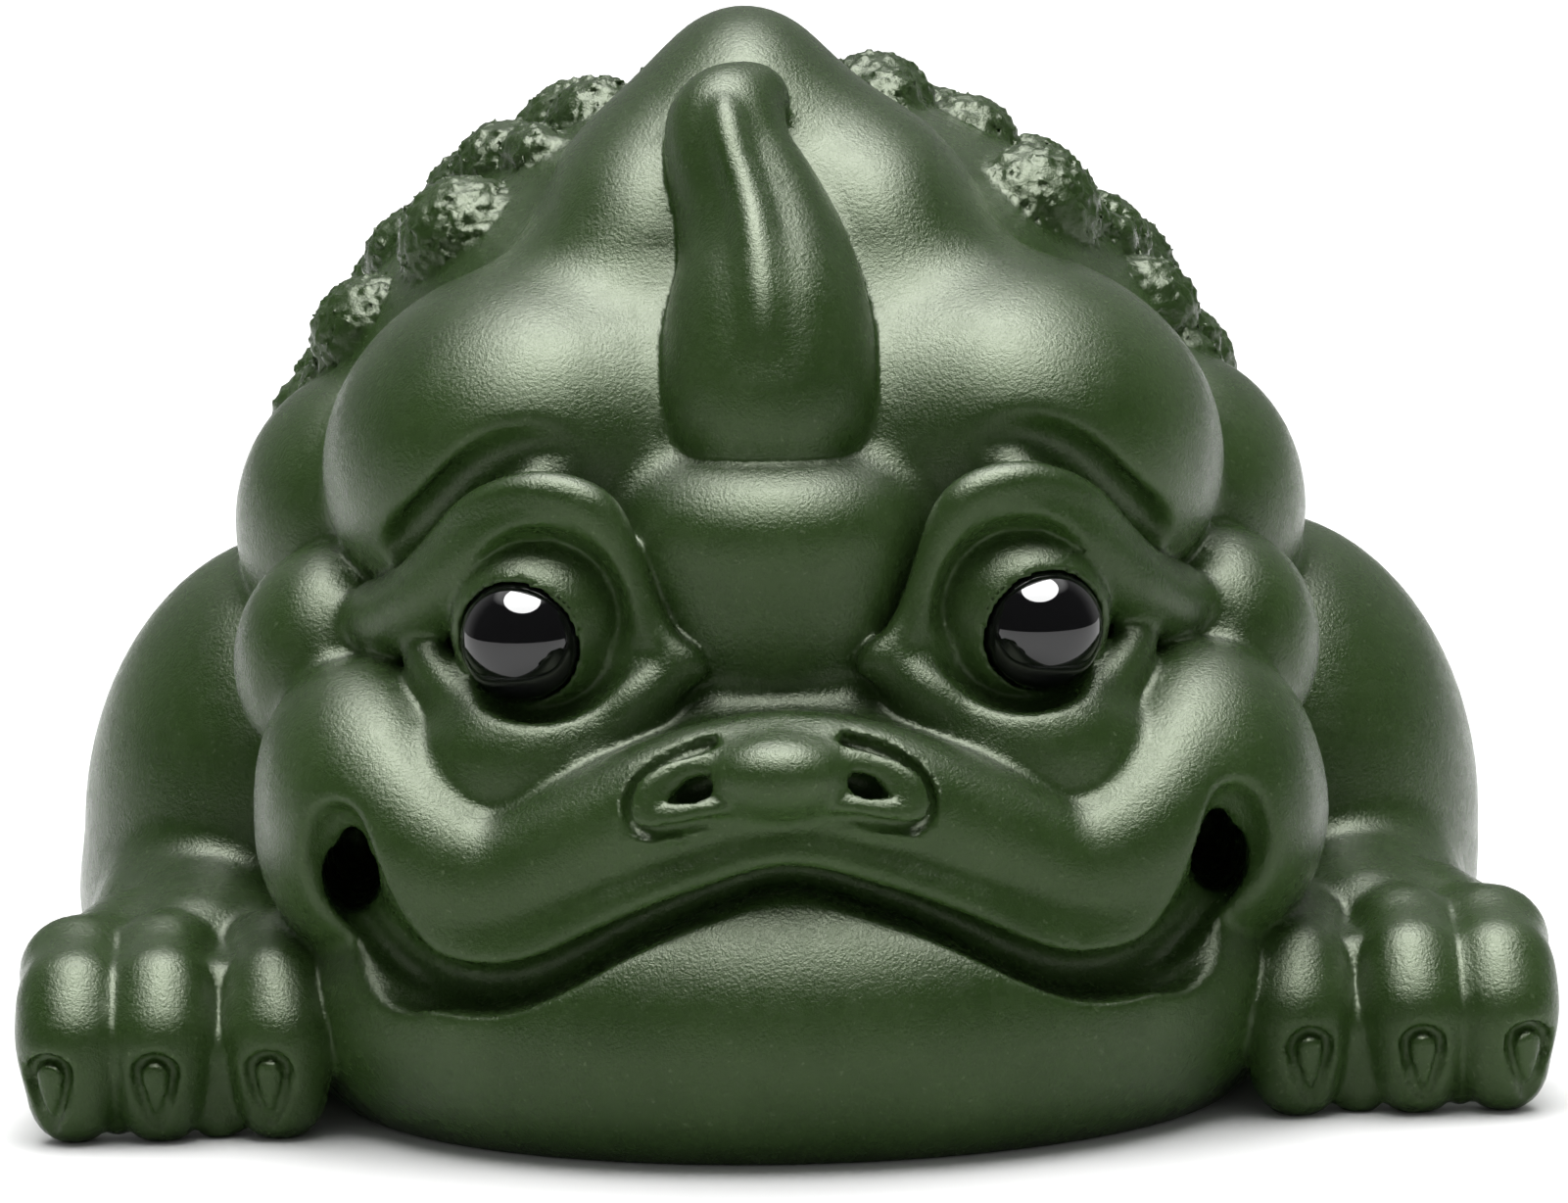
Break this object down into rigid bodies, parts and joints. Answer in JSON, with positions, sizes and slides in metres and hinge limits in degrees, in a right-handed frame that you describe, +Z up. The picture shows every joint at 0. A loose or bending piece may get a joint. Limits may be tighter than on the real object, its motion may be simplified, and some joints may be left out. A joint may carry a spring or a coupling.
{
  "type": "money toad figure",
  "caption": "Squat clay money toad with a broad lipped mouth, swollen brows, a blunt horn, warty back and black bead eyes, standing on its belly and feet.",
  "frame": {"origin": "on the floor below the middle of the figure's overall length and width", "axes": "the toad faces -Y, +X runs to the right of a viewer who looks at its face, +Z is up"},
  "size_m": [0.1014, 0.1102, 0.0714],
  "materials": {
    "clay": "satin unglazed fine-grained clay",
    "bead": "polished"
  },
  "bodies": {
    "root": {"toad_body": "clay", "left_eye_bead": "bead", "right_eye_bead": "bead"}
  },
  "joints": []
}
